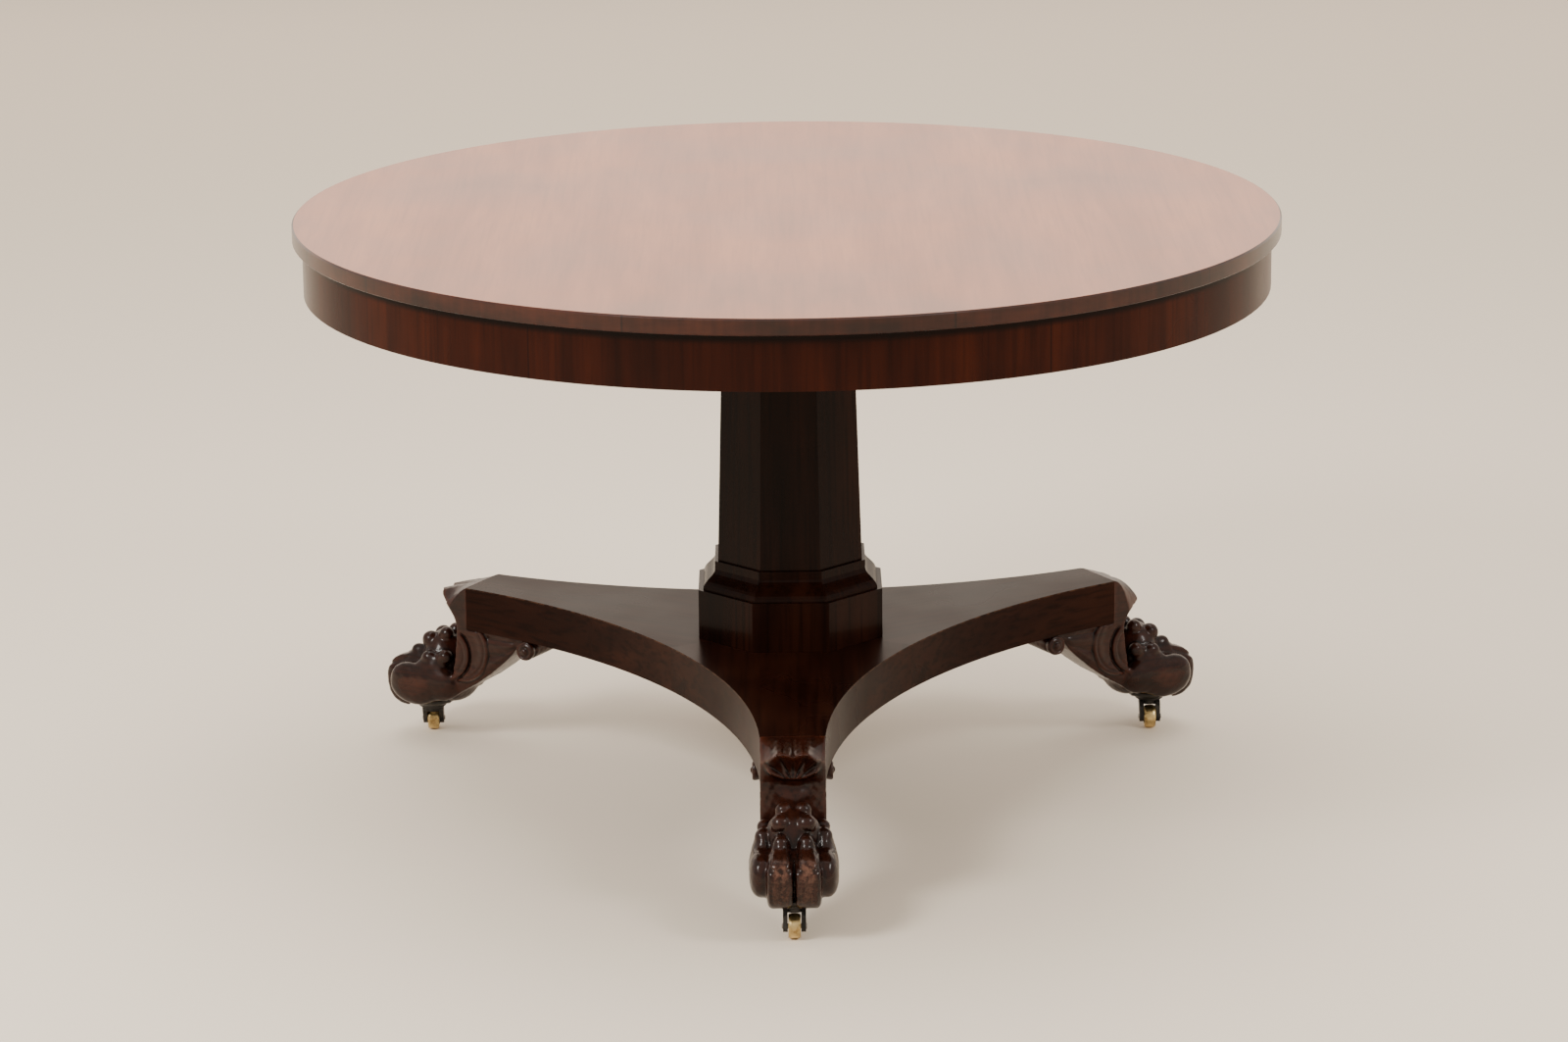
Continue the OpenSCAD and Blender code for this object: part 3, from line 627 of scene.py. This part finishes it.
world = bpy.data.worlds.new("studio")
bpy.context.scene.world = world
world.use_nodes = True
world.node_tree.nodes["Background"].inputs[0].default_value = (0.95, 0.87, 0.78, 1)
world.node_tree.nodes["Background"].inputs[1].default_value = 0.98


def area(name, loc, target, size, power, color=(1, 0.97, 0.93)):
    """A soft light panel at loc, facing target."""
    light = bpy.data.lights.new(name, "AREA")
    light.shape = "RECTANGLE"
    light.size, light.size_y = size
    light.energy = power
    light.color = color
    obj = bpy.data.objects.new(name, light)
    bpy.context.scene.collection.objects.link(obj)
    obj.visible_camera = False
    aim = Vector(target) - Vector(loc)
    obj.matrix_world = Matrix.Translation(loc) @ aim.to_track_quat("-Z", "Y").to_matrix().to_4x4()


area("key_left", (-2.8, -2.4, 3.0), (0, 0, 0.5), (1.2, 1.2), 150)
area("key_right", (3.0, -1.8, 2.8), (0, 0, 0.5), (1.0, 1.0), 55)
area("over", (0, 0.6, 3.6), (0, 0, 0), (3.0, 3.0), 100)
area("back", (0, 6.4, 2.6), (0, 0, 0.75), (11.0, 3.6), 125, (1, 0.77, 0.59))

# ---------------------------------------------------------------- camera
CAMERA_AT = (-0.0125, -6.293, 2.027)
YAW, PITCH, ROLL = (math.radians(a) for a in (0.05, -14.875, -0.59))
cam = bpy.data.cameras.new("camera")
cam.lens = 119.0
cam.sensor_width = 36.0
cam.clip_end = 100
camera = bpy.data.objects.new("camera", cam)
bpy.context.scene.collection.objects.link(camera)
ahead = np.array([math.sin(YAW) * math.cos(PITCH), math.cos(YAW) * math.cos(PITCH),
                  math.sin(PITCH)])
level = np.array([math.cos(YAW), -math.sin(YAW), 0.0])
upright = np.cross(level, ahead)
right = level * math.cos(ROLL) + upright * math.sin(ROLL)
up = upright * math.cos(ROLL) - level * math.sin(ROLL)
pose = Matrix.Identity(4)
for i in range(3):
    pose[i][0], pose[i][1], pose[i][2], pose[i][3] = right[i], up[i], -ahead[i], CAMERA_AT[i]
camera.matrix_world = pose
bpy.context.scene.camera = camera
